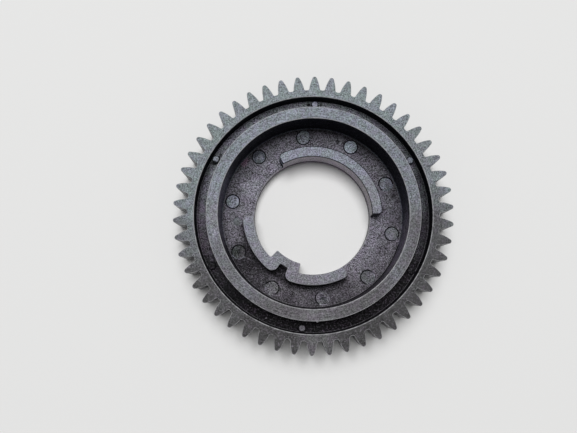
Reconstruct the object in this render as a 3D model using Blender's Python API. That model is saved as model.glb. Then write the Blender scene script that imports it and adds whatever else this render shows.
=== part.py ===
"""Fuser roller gear: one moulded plastic spur gear with a keyed bore and a split collar.

The gear lies on its back in the plane z = 0 with its axis on the z axis and its front facing +Z.
A groove runs round inside the toothed rim, and a ring taller than the rim stands inside it. The
web within the ring carries two collar arcs about the bore. One of them jogs inwards as the key.
Round ejector marks are sunk in the web, and small round pins stand in the groove. The back is
recessed between the rim and a plain boss round the bore, deeper under the groove than under the
web, so that all the walls are about equally thick.
"""

import math

import bmesh
import bpy

MM = 0.001
TURN = 2.0 * math.pi

# Teeth
TOOTH_COUNT = 50
MODULE = 1.0 * MM
PRESSURE_ANGLE = math.radians(20.0)
ADDENDUM = 1.0 * MODULE
DEDENDUM = 1.6 * MODULE
TOOTH_THICKNESS = 1.38 * MODULE
TIP_CROWN = 0.3 * MODULE
ROOT_FILLET = 0.35 * MODULE

PITCH_RADIUS = MODULE * TOOTH_COUNT / 2.0
BASE_RADIUS = PITCH_RADIUS * math.cos(PRESSURE_ANGLE)
TIP_RADIUS = PITCH_RADIUS + ADDENDUM
ROOT_RADIUS = PITCH_RADIUS - DEDENDUM

# Walls and gaps, from the teeth inwards
RIM_WALL = 1.3 * MM
GROOVE_WIDTH = 2.4 * MM
RING_WALL = 2.2 * MM

RIM_INNER_RADIUS = ROOT_RADIUS - RIM_WALL
RING_OUTER_RADIUS = RIM_INNER_RADIUS - GROOVE_WIDTH
RING_INNER_RADIUS = RING_OUTER_RADIUS - RING_WALL

# Heights above the back face
RIM_WIDTH = 9.4 * MM
RING_RISE = 2.0 * MM
GROOVE_DEPTH = 3.1 * MM
GROOVE_PLATE = 2.0 * MM
WEB_THICKNESS = 2.1 * MM
BACK_RECESS = 0.9 * MM
COLLAR_RISE = 3.8 * MM

RING_TOP = RIM_WIDTH + RING_RISE
GROOVE_FLOOR = RIM_WIDTH - GROOVE_DEPTH
BACK_GROOVE_FLOOR = GROOVE_FLOOR - GROOVE_PLATE
WEB_FLOOR = BACK_RECESS + WEB_THICKNESS
COLLAR_TOP = WEB_FLOOR + COLLAR_RISE

# Bore, key and collar
BORE_RADIUS = 11.2 * MM
COLLAR_WALL = 2.0 * MM
COLLAR_SPAN = math.radians(119.0)
COLLAR_END_ROUND = 0.65 * MM
KEY_ANGLE = math.radians(240.0)
KEY_HEIGHT = 1.8 * MM
KEY_SPAN = math.radians(30.7)
KEY_WALL = 1.6 * MM
NOTCH_SPAN = math.radians(8.6)
NOTCH_SHOULDER_ROUND = 1.3 * MM

COLLAR_RADIUS = BORE_RADIUS + COLLAR_WALL
KEY_RADIUS = BORE_RADIUS - KEY_HEIGHT
NOTCH_RADIUS = KEY_RADIUS + KEY_WALL

# Ejector marks in the web, one of them in line with the key
MARK_COUNT = 10
MARK_RADIUS = 1.45 * MM
MARK_DEPTH = 0.2 * MM
MARK_WALL_GAP = 0.35 * MM

MARK_CIRCLE = RING_INNER_RADIUS - MARK_RADIUS - MARK_WALL_GAP

# Small pins in the groove
PIN_ANGLES = tuple(math.radians(a) for a in (29.0, 89.0, 149.5, 206.5, 264.0, 330.0))
PIN_RADIUS = 0.8 * MM
PIN_RISE = 1.0 * MM
PIN_WALL_GAP = 0.25 * MM

PIN_CIRCLE = RIM_INNER_RADIUS - PIN_RADIUS - PIN_WALL_GAP

# Broken edges
EDGE_CHAMFER = 0.2 * MM
BORE_CHAMFER = 0.3 * MM

# Facets of the round shapes
ROUND_STEPS = 100
FLANK_STEPS = 3
CROWN_STEPS = 4
CORNER_STEPS = 3
MARK_STEPS = 20
PIN_STEPS = 16
SHARP_ANGLE = math.radians(30.0)

# Overlap of the helper solids with the body that they cut or join
OVERLAP = 0.5 * MM

PLASTIC_COLOUR = (0.072, 0.072, 0.078, 1.0)
PLASTIC_ROUGHNESS = 0.55


def polar(radius, angle):
    """Point (x, y) at a radius and an angle about the axis."""
    return (radius * math.cos(angle), radius * math.sin(angle))


def involute(angle):
    """Involute function of a pressure angle."""
    return math.tan(angle) - angle


def tooth_half_angle(radius):
    """Half of the angle that one tooth takes up at a radius."""
    pressure = math.acos(min(1.0, BASE_RADIUS / radius))
    return TOOTH_THICKNESS / (2.0 * PITCH_RADIUS) + involute(PRESSURE_ANGLE) - involute(pressure)


def crown_points(flank_end, half_angle):
    """Arc over the tip of a tooth at angle 0, through both flank ends and the tip circle."""
    half_width = flank_end * math.sin(half_angle)
    rise = TIP_RADIUS - flank_end * math.cos(half_angle)
    radius = (half_width**2 + rise**2) / (2.0 * rise)
    centre = TIP_RADIUS - radius
    sweep = math.atan2(half_width, flank_end * math.cos(half_angle) - centre)
    points = []
    for step in range(1, CROWN_STEPS):
        angle = sweep * (2.0 * step / CROWN_STEPS - 1.0)
        points.append((centre + radius * math.cos(angle), radius * math.sin(angle)))
    return points


def half_tooth():
    """Points (radius, angle) from the gap floor up one flank of a tooth at angle 0."""
    fillet_centre = ROOT_RADIUS + ROOT_FILLET
    fillet_end = math.sqrt(fillet_centre**2 - ROOT_FILLET**2)
    centre_angle = tooth_half_angle(fillet_end) + math.asin(ROOT_FILLET / fillet_centre)
    centre_x, centre_y = polar(fillet_centre, -centre_angle)
    points = []
    for step in range(CORNER_STEPS):
        turn = math.pi - centre_angle - step / CORNER_STEPS * math.pi / 2.0
        x = centre_x + ROOT_FILLET * math.cos(turn)
        y = centre_y + ROOT_FILLET * math.sin(turn)
        points.append((math.hypot(x, y), math.atan2(y, x)))
    flank_end = TIP_RADIUS - TIP_CROWN
    for step in range(FLANK_STEPS + 1):
        radius = fillet_end + (flank_end - fillet_end) * step / FLANK_STEPS
        points.append((radius, -tooth_half_angle(radius)))
    return points


def toothed_outline():
    """Outline of all the teeth, with one tooth in line with the key."""
    rising = half_tooth()
    flank_end, flank_angle = rising[-1]
    crown = [(math.hypot(x, y), math.atan2(y, x)) for x, y in crown_points(flank_end, -flank_angle)]
    falling = [(radius, -angle) for radius, angle in reversed(rising)]
    tooth = rising + crown + falling
    outline = []
    for index in range(TOOTH_COUNT):
        centre = KEY_ANGLE + index * TURN / TOOTH_COUNT
        outline.extend(polar(radius, centre + angle) for radius, angle in tooth)
    return outline


def arc(radius, start, end):
    """Points along a circle about the axis, with the same facet length as the turned shapes."""
    steps = max(1, round(abs(end - start) / TURN * ROUND_STEPS))
    return [polar(radius, start + (end - start) * step / steps) for step in range(steps + 1)]


def outer_corner(radius, side_angle, into, round_radius):
    """Rounded corner between a radial side and an outer circle.

    The points run from the side to the circle. The material lies from the side towards larger
    angles where into is 1, and towards smaller angles where it is -1.
    """
    centre_radius = radius - round_radius
    centre_angle = side_angle + into * math.asin(round_radius / centre_radius)
    centre_x, centre_y = polar(centre_radius, centre_angle)
    first = side_angle - into * math.pi / 2.0
    points = []
    for step in range(2 * CORNER_STEPS + 1):
        turn = first + (centre_angle - first) * step / (2 * CORNER_STEPS)
        points.append((centre_x + round_radius * math.cos(turn), centre_y + round_radius * math.sin(turn)))
    return points, centre_angle


def band(start, end, start_round, end_round):
    """Outer side of a collar arc between two radial sides, anticlockwise."""
    first, first_angle = outer_corner(COLLAR_RADIUS, start, 1, start_round)
    last, last_angle = outer_corner(COLLAR_RADIUS, end, -1, end_round)
    return first + arc(COLLAR_RADIUS, first_angle, last_angle)[1:-1] + last[::-1]


def collar_outlines():
    """Outlines of the plain collar arc and of the keyed one, both reaching inside the bore."""
    core = KEY_RADIUS - OVERLAP
    half = COLLAR_SPAN / 2.0
    plain_angle = KEY_ANGLE - TURN / 2.0
    plain = band(plain_angle - half, plain_angle + half, COLLAR_END_ROUND, COLLAR_END_ROUND)
    plain += arc(core, plain_angle + half, plain_angle - half)
    notch_start = KEY_ANGLE - NOTCH_SPAN / 2.0
    notch_end = KEY_ANGLE + NOTCH_SPAN / 2.0
    keyed = band(KEY_ANGLE - half, notch_start, COLLAR_END_ROUND, NOTCH_SHOULDER_ROUND)
    keyed += arc(NOTCH_RADIUS, notch_start, notch_end)
    keyed += band(notch_end, KEY_ANGLE + half, NOTCH_SHOULDER_ROUND, COLLAR_END_ROUND)
    keyed += arc(core, KEY_ANGLE + half, KEY_ANGLE - half)
    return plain, keyed


def bore_outline(growth):
    """Outline of the bore and its key, each radius enlarged by growth."""
    key_start = KEY_ANGLE - KEY_SPAN / 2.0
    key_end = KEY_ANGLE + KEY_SPAN / 2.0
    around = arc(BORE_RADIUS + growth, key_end, key_start + TURN)
    return around + arc(KEY_RADIUS + growth, key_start, key_end)


def blank_section():
    """Half section (radius, height) of the turned blank, outside the core that the bore removes."""
    core = KEY_RADIUS / 2.0
    outside = TIP_RADIUS + OVERLAP
    return [
        (core, 0.0),
        (COLLAR_RADIUS, 0.0),
        (COLLAR_RADIUS, BACK_RECESS),
        (RING_OUTER_RADIUS, BACK_RECESS),
        (RING_OUTER_RADIUS, BACK_GROOVE_FLOOR),
        (RIM_INNER_RADIUS, BACK_GROOVE_FLOOR),
        (RIM_INNER_RADIUS, 0.0),
        (outside, 0.0),
        (outside, RIM_WIDTH),
        (RIM_INNER_RADIUS + EDGE_CHAMFER, RIM_WIDTH),
        (RIM_INNER_RADIUS, RIM_WIDTH - EDGE_CHAMFER),
        (RIM_INNER_RADIUS, GROOVE_FLOOR),
        (RING_OUTER_RADIUS, GROOVE_FLOOR),
        (RING_OUTER_RADIUS, RING_TOP - EDGE_CHAMFER),
        (RING_OUTER_RADIUS - EDGE_CHAMFER, RING_TOP),
        (RING_INNER_RADIUS + EDGE_CHAMFER, RING_TOP),
        (RING_INNER_RADIUS, RING_TOP - EDGE_CHAMFER),
        (RING_INNER_RADIUS, WEB_FLOOR),
        (core, WEB_FLOOR),
    ]


def link_mesh(name, body):
    """Object made from a bmesh whose faces are turned outwards first."""
    bmesh.ops.recalc_face_normals(body, faces=body.faces)
    mesh = bpy.data.meshes.new(name)
    body.to_mesh(mesh)
    body.free()
    made = bpy.data.objects.new(name, mesh)
    bpy.context.scene.collection.objects.link(made)
    return made


def turned(name, section):
    """Solid of revolution of a closed half section about the z axis."""
    body = bmesh.new()
    corners = [body.verts.new((radius, 0.0, height)) for radius, height in section]
    edges = [body.edges.new((a, b)) for a, b in zip(corners, corners[1:] + corners[:1])]
    bmesh.ops.spin(
        body,
        geom=corners + edges,
        cent=(0.0, 0.0, 0.0),
        axis=(0.0, 0.0, 1.0),
        angle=TURN,
        steps=ROUND_STEPS,
        use_merge=True,
    )
    return link_mesh(name, body)


def add_column(body, levels):
    """Closed column through levels, each an outline and its height, added to a bmesh."""
    loops = []
    for outline, height in levels:
        loops.append([body.verts.new((x, y, height)) for x, y in outline])
    body.faces.new(loops[0])
    body.faces.new(loops[-1])
    for lower, upper in zip(loops, loops[1:]):
        for index, corner in enumerate(lower):
            after = (index + 1) % len(lower)
            body.faces.new((corner, lower[after], upper[after], upper[index]))


def columns(name, parts):
    """Object that holds one closed column for each list of levels."""
    body = bmesh.new()
    for levels in parts:
        add_column(body, levels)
    return link_mesh(name, body)


def round_columns(name, places, radius, steps, bottom, top):
    """Object that holds an upright round column at each place."""
    parts = []
    for x, y in places:
        outline = []
        for step in range(steps):
            dx, dy = polar(radius, step * TURN / steps)
            outline.append((x + dx, y + dy))
        parts.append([(outline, bottom), (outline, top)])
    return columns(name, parts)


def helper_solids():
    """The solids that shape the blank, each with its Boolean operation, in their order."""
    teeth = toothed_outline()
    collars = collar_outlines()
    mark_places = []
    for index in range(MARK_COUNT):
        mark_places.append(polar(MARK_CIRCLE, KEY_ANGLE + index * TURN / MARK_COUNT))
    pin_places = [polar(PIN_CIRCLE, angle) for angle in PIN_ANGLES]
    return [
        ("INTERSECT", columns("teeth", [[(teeth, -OVERLAP), (teeth, RING_TOP + OVERLAP)]])),
        (
            "UNION",
            columns(
                "collars",
                [[(outline, WEB_FLOOR - OVERLAP), (outline, COLLAR_TOP)] for outline in collars],
            ),
        ),
        (
            "DIFFERENCE",
            columns(
                "bore",
                [
                    [
                        (bore_outline(2.0 * BORE_CHAMFER), -BORE_CHAMFER),
                        (bore_outline(0.0), BORE_CHAMFER),
                        (bore_outline(0.0), RING_TOP + OVERLAP),
                    ]
                ],
            ),
        ),
        (
            "DIFFERENCE",
            round_columns(
                "marks",
                mark_places,
                MARK_RADIUS,
                MARK_STEPS,
                WEB_FLOOR - MARK_DEPTH,
                WEB_FLOOR + OVERLAP,
            ),
        ),
        (
            "UNION",
            round_columns(
                "pins",
                pin_places,
                PIN_RADIUS,
                PIN_STEPS,
                GROOVE_FLOOR - OVERLAP,
                GROOVE_FLOOR + PIN_RISE,
            ),
        ),
    ]


def shaped(blank, helpers):
    """Replaces the blank's mesh with the result of its Boolean modifiers and removes the helpers."""
    for operation, helper in helpers:
        helper.hide_render = True
        helper.display_type = "WIRE"
        cut = blank.modifiers.new(helper.name, "BOOLEAN")
        cut.operation = operation
        cut.solver = "EXACT"
        cut.object = helper
    graph = bpy.context.evaluated_depsgraph_get()
    result = bpy.data.meshes.new_from_object(blank.evaluated_get(graph))
    rough = blank.data
    blank.modifiers.clear()
    blank.data = result
    result.name = blank.name
    bpy.data.meshes.remove(rough)
    for _, helper in helpers:
        bpy.data.meshes.remove(helper.data)


def plastic():
    """Matte dark grey moulded plastic."""
    material = bpy.data.materials.new("dark_grey_plastic")
    material.use_nodes = True
    shader = material.node_tree.nodes["Principled BSDF"]
    shader.inputs["Base Color"].default_value = PLASTIC_COLOUR
    shader.inputs["Roughness"].default_value = PLASTIC_ROUGHNESS
    shader.inputs["Metallic"].default_value = 0.0
    material.diffuse_color = PLASTIC_COLOUR
    material.roughness = PLASTIC_ROUGHNESS
    return material


def main():
    """Builds the gear in an empty scene."""
    for old in list(bpy.data.objects):
        bpy.data.objects.remove(old, do_unlink=True)
    gear = turned("roller_gear", blank_section())
    shaped(gear, helper_solids())
    gear.data.materials.clear()
    gear.data.materials.append(plastic())
    gear.data.shade_smooth()
    gear.data.set_sharp_from_angle(angle=SHARP_ANGLE)


main()
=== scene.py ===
"""Looks of the fuser roller gear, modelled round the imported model.

The gear lies on its back on a pale floor, and the camera looks down on its front from the place
that the photograph was taken from. The moulding is modelled here again with rounded edges, uneven
ejector marks and a parting line, and it stands for the plain solid. Shapes are worked out in
millimetres and put into the frame, which is in metres, at the end.
"""

import logging
import math
from collections.abc import Callable, Sequence
from dataclasses import dataclass, field
from enum import Enum

import bmesh
import bpy
import numpy as np
from mathutils import Matrix, Vector


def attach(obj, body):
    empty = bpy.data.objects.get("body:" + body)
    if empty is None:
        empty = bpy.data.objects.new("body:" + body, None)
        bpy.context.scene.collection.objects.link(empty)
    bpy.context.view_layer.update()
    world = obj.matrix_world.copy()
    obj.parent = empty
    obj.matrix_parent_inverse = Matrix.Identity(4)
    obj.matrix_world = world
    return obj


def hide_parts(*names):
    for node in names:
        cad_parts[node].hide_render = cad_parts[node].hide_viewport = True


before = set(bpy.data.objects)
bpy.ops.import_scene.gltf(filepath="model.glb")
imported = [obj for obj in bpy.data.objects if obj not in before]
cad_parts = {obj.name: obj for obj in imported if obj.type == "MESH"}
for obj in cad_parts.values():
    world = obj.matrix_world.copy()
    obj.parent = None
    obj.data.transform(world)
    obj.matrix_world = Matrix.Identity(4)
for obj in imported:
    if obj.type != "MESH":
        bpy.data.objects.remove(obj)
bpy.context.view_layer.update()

MM = 0.001
TURN = 2.0 * math.pi
NODE = "roller_gear"
BODY = "root"

# Helper solids stay clear of the blank's faces by SINK and reach past what they change by SPARE.
SINK = 0.01
SPARE = 0.5

# Small arcs have this many facets, and the arc of a rounded edge ends short of its level face.
ARC_STEPS = 4
EDGE_SWEEP = math.radians(80.0)

# A face is upright where its normal's upward part is below SLOPE, and level where it is above LEVEL.
SLOPE, LEVEL = 0.12, 0.97

Points = np.ndarray
Level = tuple[Points, float | Points]
Colour = tuple[float, float, float]
Socket = bpy.types.NodeSocket
Sockets = dict[str, Socket]
logger = logging.getLogger("roller_gear")


class Zone(Enum):
    """Kind of moulded surface that a face belongs to, in the order of the material slots."""

    RIM = 0
    RING = 1
    COLLAR = 2
    WEB = 3
    GROOVE = 4
    WALL = 5
    TOOTH = 6
    BORE = 7
    MARK = 8
    CREASE = 9
    LIP = 10
    FOOT = 11
    BACK = 12


class Cut(Enum):
    """How a helper solid changes the moulding."""

    JOIN = "UNION"
    REMOVE = "DIFFERENCE"
    KEEP_INSIDE = "INTERSECT"


Rule = tuple[Zone, Points]


def polar(radius: float | Points, angle: float | Points) -> Points:
    """Points (x, y) of the plane from radii and angles about the axis, in radians."""
    radius, angle = np.broadcast_arrays(np.atleast_1d(radius), np.atleast_1d(angle))
    return np.stack([radius * np.cos(angle), radius * np.sin(angle)], axis=1)


def directions(count: int, offset: float = 0.0) -> Points:
    """Evenly spread angles of a full turn. The offset moves them by a share of their spacing."""
    return (np.arange(count) + offset) * TURN / count


def unit(vectors: Points) -> Points:
    """Vectors of length one in the same directions, row by row."""
    return vectors / np.linalg.norm(vectors, axis=1, keepdims=True)


def side_normals(points: Points) -> Points:
    """Outward normals of the sides that start at each point of an anticlockwise outline."""
    along = np.roll(points, -1, axis=0) - points
    return unit(np.stack([along[:, 1], -along[:, 0]], axis=1))


def grown(points: Points, distance: float | Points) -> Points:
    """Outline moved outwards, or inwards where the distance is negative.

    Args:
        points: Anticlockwise outline.
        distance: One distance, or one for each point.

    Returns:
        The moved outline, with as many points.
    """
    sharpest = 0.5
    after = side_normals(points)
    mean = unit(after + np.roll(after, 1, axis=0))
    stretch = 1.0 / np.maximum(np.sum(mean * after, axis=1), sharpest)
    return points + mean * (stretch * distance)[:, None]


def softened(points: Points, radius: float | Points) -> Points:
    """Closed outline or section whose sharp corners are turned into small arcs.

    Args:
        points: The outline's (x, y) rows.
        radius: Radius of the arcs, or one for each point.

    Returns:
        The outline with its new points.
    """
    least_bend, longest_trim = math.radians(25.0), 0.45
    radii = np.broadcast_to(radius, len(points))
    made = []
    for index, corner in enumerate(points):
        back = points[index - 1] - corner
        ahead = points[(index + 1) % len(points)] - corner
        back_length, ahead_length = np.linalg.norm(back), np.linalg.norm(ahead)
        back, ahead = back / back_length, ahead / ahead_length
        bend = math.acos(float(np.clip(-np.dot(back, ahead), -1.0, 1.0)))
        if bend < least_bend or radii[index] <= 0.0:
            made.append(corner)
            continue
        limits = longest_trim * back_length, longest_trim * ahead_length
        trim = min(radii[index] * math.tan(bend / 2.0), *limits)
        used = trim / math.tan(bend / 2.0)
        middle = unit((back + ahead)[None, :])[0]
        centre = corner + middle * used / math.cos(bend / 2.0)
        first, last = corner + back * trim - centre, corner + ahead * trim - centre
        for step in range(ARC_STEPS + 1):
            share = step / ARC_STEPS
            spot = first * math.sin((1.0 - share) * bend) + last * math.sin(share * bend)
            made.append(centre + spot / math.sin(bend))
    return np.array(made)


def arc(radius: float, start: float, end: float) -> Points:
    """Points along a circle about the axis, both ends among them.

    Args:
        radius: The circle's radius.
        start: First angle in radians.
        end: Last angle in radians.

    Returns:
        An array of (x, y) rows.
    """
    facet = 0.8
    steps = max(1, math.ceil(abs(end - start) * radius / facet))
    return polar(radius, np.linspace(start, end, steps + 1))


def new_object(name: str, corners: Points, faces: Sequence[Sequence[int]]) -> bpy.types.Object:
    """Mesh object in the scene.

    Args:
        name: The object's name.
        corners: (x, y, z) rows.
        faces: Corner numbers of each face, anticlockwise seen from outside.

    Returns:
        The new object.
    """
    mesh = bpy.data.meshes.new(name)
    mesh.from_pydata([tuple(map(float, corner)) for corner in corners], [], faces)
    made = bpy.data.objects.new(name, mesh)
    bpy.context.scene.collection.objects.link(made)
    return made


def ring_of_faces(lower: int, upper: int, count: int) -> list[tuple[int, int, int, int]]:
    """Faces between two closed loops of count corners that start at the numbers lower and upper."""
    pairs = [(index, (index + 1) % count) for index in range(count)]
    return [(lower + here, lower + after, upper + after, upper + here) for here, after in pairs]


def lofts(name: str, columns: Sequence[Sequence[Level]]) -> bpy.types.Object:
    """Object with one closed solid for each column of outlines.

    Args:
        name: The object's name.
        columns: For each solid its levels from the bottom up. A level is an anticlockwise outline
            and its height, or one height for each point.

    Returns:
        The new object.
    """
    corners, faces = [], []
    start = 0
    for levels in columns:
        count = len(levels[0][0])
        for outline, height in levels:
            corners.append(np.column_stack([outline, np.broadcast_to(height, count)]))
        for index in range(len(levels) - 1):
            faces += ring_of_faces(start + index * count, start + (index + 1) * count, count)
        top = start + (len(levels) - 1) * count
        faces.append(tuple(range(start + count - 1, start - 1, -1)))
        faces.append(tuple(range(top, top + count)))
        start += len(levels) * count
    return new_object(name, np.concatenate(corners), faces)


def turned(name: str, section: Points, steps: int) -> bpy.types.Object:
    """Solid of revolution about the axis.

    Args:
        name: The object's name.
        section: Closed (radius, height) section, anticlockwise.
        steps: Facets round the axis.

    Returns:
        The new object.
    """
    angles = directions(steps)
    loops = [np.column_stack([polar(r, angles), np.full(steps, z)]) for r, z in section]
    faces = []
    for index in range(len(section)):
        after = (index + 1) % len(section)
        faces += ring_of_faces(index * steps, after * steps, steps)
    return new_object(name, np.concatenate(loops), faces)


def quarter(radius: float) -> list[tuple[float, float]]:
    """Steps (inset, rise) of a rounded edge, from the upright side to just short of the level."""
    angles = [EDGE_SWEEP * step / ARC_STEPS for step in range(ARC_STEPS + 1)]
    return [(radius * (1.0 - math.cos(a)), radius * math.sin(a)) for a in angles]


def rounded_edge(outline: Points, radius: float, start: float, way: float = 1.0) -> list[Level]:
    """Levels of a rounded edge from the height where it starts, upwards or, where way is -1, down."""
    return [(grown(outline, -inset), start + way * rise) for inset, rise in quarter(radius)]


@dataclass
class ToothedRim:
    """Rim with straight involute teeth, crowned at their tips."""

    tooth_count: int = 50
    module: float = 1.0
    pressure_angle: float = math.radians(20.0)
    addendum: float = 1.0
    dedendum: float = 1.6
    tooth_thickness: float = 1.38
    tip_crown: float = 0.3
    root_fillet: float = 0.35
    wall: float = 1.3
    width: float = 9.4
    first_tooth: float = math.radians(240.0)
    edge_round: float = 0.13
    fillet_points: int = 5
    flank_points: int = 7
    crown_points: int = 9
    column_below: float = 1.0
    column_above: float = 4.0

    @property
    def pitch_radius(self) -> float:
        """Radius of the pitch circle."""
        return self.module * self.tooth_count / 2.0

    @property
    def tip_radius(self) -> float:
        """Radius over the teeth."""
        return self.pitch_radius + self.addendum * self.module

    @property
    def root_radius(self) -> float:
        """Radius of the floors between the teeth."""
        return self.pitch_radius - self.dedendum * self.module

    @property
    def inner_radius(self) -> float:
        """Radius of the rim's inner wall."""
        return self.root_radius - self.wall

    def half_angle(self, radius: float) -> float:
        """Half of the angle that a tooth takes up at a radius.

        Args:
            radius: Distance from the axis.

        Returns:
            The angle in radians.
        """
        base = self.pitch_radius * math.cos(self.pressure_angle)
        here = math.acos(min(1.0, base / radius))
        grow = math.tan(self.pressure_angle) - self.pressure_angle - math.tan(here) + here
        return self.tooth_thickness / (2.0 * self.pitch_radius) + grow

    def rising_side(self) -> list[tuple[float, float]]:
        """Points up one side of a tooth at angle 0, from the gap's floor.

        Returns:
            Pairs (radius, angle) of the rounded corner at the floor and then of the flank.
        """
        centre_radius = self.root_radius + self.root_fillet
        flank_start = math.sqrt(centre_radius**2 - self.root_fillet**2)
        centre_angle = self.half_angle(flank_start) + math.asin(self.root_fillet / centre_radius)
        centre = polar(centre_radius, -centre_angle)[0]
        made = []
        for turn in np.linspace(math.pi, math.pi / 2.0, self.fillet_points)[:-1] - centre_angle:
            x, y = centre + self.root_fillet * np.array([math.cos(turn), math.sin(turn)])
            made.append((math.hypot(x, y), math.atan2(y, x)))
        for radius in np.linspace(flank_start, self.tip_radius - self.tip_crown, self.flank_points):
            made.append((radius, -self.half_angle(radius)))
        return made

    def crown(self, flank_end: tuple[float, float]) -> list[tuple[float, float]]:
        """Points over the tip of a tooth at angle 0, without both flank ends.

        Args:
            flank_end: The rising flank's last point (radius, angle).

        Returns:
            Pairs (radius, angle) of an arc through the flank ends and the tip circle.
        """
        end_x, end_y = polar(*flank_end)[0]
        rise = self.tip_radius - end_x
        radius = (end_y**2 + rise**2) / (2.0 * rise)
        centre = self.tip_radius - radius
        sweep = math.atan2(-end_y, end_x - centre)
        made = []
        for turn in np.linspace(-sweep, sweep, self.crown_points)[1:-1]:
            x, y = centre + radius * math.cos(turn), radius * math.sin(turn)
            made.append((math.hypot(x, y), math.atan2(y, x)))
        return made

    def outline(self) -> Points:
        """Outline of all the teeth.

        Returns:
            An array of (x, y) rows, anticlockwise.
        """
        rising = self.rising_side()
        falling = [(radius, -angle) for radius, angle in reversed(rising)]
        tooth = np.array(rising + self.crown(rising[-1]) + falling)
        pitch = TURN / self.tooth_count
        places = self.first_tooth + np.arange(self.tooth_count) * pitch
        return np.concatenate([polar(tooth[:, 0], tooth[:, 1] + place) for place in places])

    def mould(self) -> bpy.types.Object:
        """Column that trims the blank to the teeth and rounds their ends.

        Returns:
            The helper solid.
        """
        outline = self.outline()
        low = rounded_edge(outline, self.edge_round, self.edge_round - SINK, -1.0)
        high = rounded_edge(outline, self.edge_round, self.width - self.edge_round + SINK)
        foot, head = (low[-1][0], -self.column_below), (high[-1][0], self.width + self.column_above)
        return lofts("teeth", [[foot, *low[::-1], *high, head]])


@dataclass
class RingedWeb:
    """The turned part of the moulding: groove, raised ring, web and the recesses at the back."""

    rim: ToothedRim
    groove_width: float = 2.4
    ring_wall: float = 2.2
    ring_rise: float = 2.0
    groove_depth: float = 3.1
    groove_plate: float = 2.0
    web_thickness: float = 2.1
    back_recess: float = 0.9
    boss_radius: float = 13.2
    core: float = 4.7
    edge_round: float = 0.2
    foot_round: float = 0.28
    steps: int = 240

    @property
    def ring_outer(self) -> float:
        """Outer radius of the raised ring."""
        return self.rim.inner_radius - self.groove_width

    @property
    def ring_inner(self) -> float:
        """Inner radius of the raised ring."""
        return self.ring_outer - self.ring_wall

    @property
    def ring_top(self) -> float:
        """Height of the ring's face."""
        return self.rim.width + self.ring_rise

    @property
    def groove_floor(self) -> float:
        """Height of the groove's floor."""
        return self.rim.width - self.groove_depth

    @property
    def web_floor(self) -> float:
        """Height of the web's front."""
        return self.back_recess + self.web_thickness

    def blank(self) -> bpy.types.Object:
        """The turned blank, wider than the teeth and closed towards the bore but for a core.

        Returns:
            The object that the helper solids change.
        """
        outside = self.rim.tip_radius + SPARE
        edge, foot = self.edge_round, self.foot_round
        groove_back = self.groove_floor - self.groove_plate
        corners = [
            (self.core, 0.0, 0.0),
            (self.boss_radius, 0.0, edge),
            (self.boss_radius, self.back_recess, foot),
            (self.ring_outer, self.back_recess, edge),
            (self.ring_outer, groove_back, foot),
            (self.rim.inner_radius, groove_back, foot),
            (self.rim.inner_radius, 0.0, edge),
            (outside, 0.0, 0.0),
            (outside, self.rim.width, 0.0),
            (self.rim.inner_radius, self.rim.width, edge),
            (self.rim.inner_radius, self.groove_floor, foot),
            (self.ring_outer, self.groove_floor, foot),
            (self.ring_outer, self.ring_top, edge),
            (self.ring_inner, self.ring_top, edge),
            (self.ring_inner, self.web_floor, foot),
            (self.core, self.web_floor, 0.0),
        ]
        radii, heights, rounds = np.array(corners).T
        return turned(NODE, softened(np.column_stack([radii, heights]), rounds), self.steps)


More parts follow.
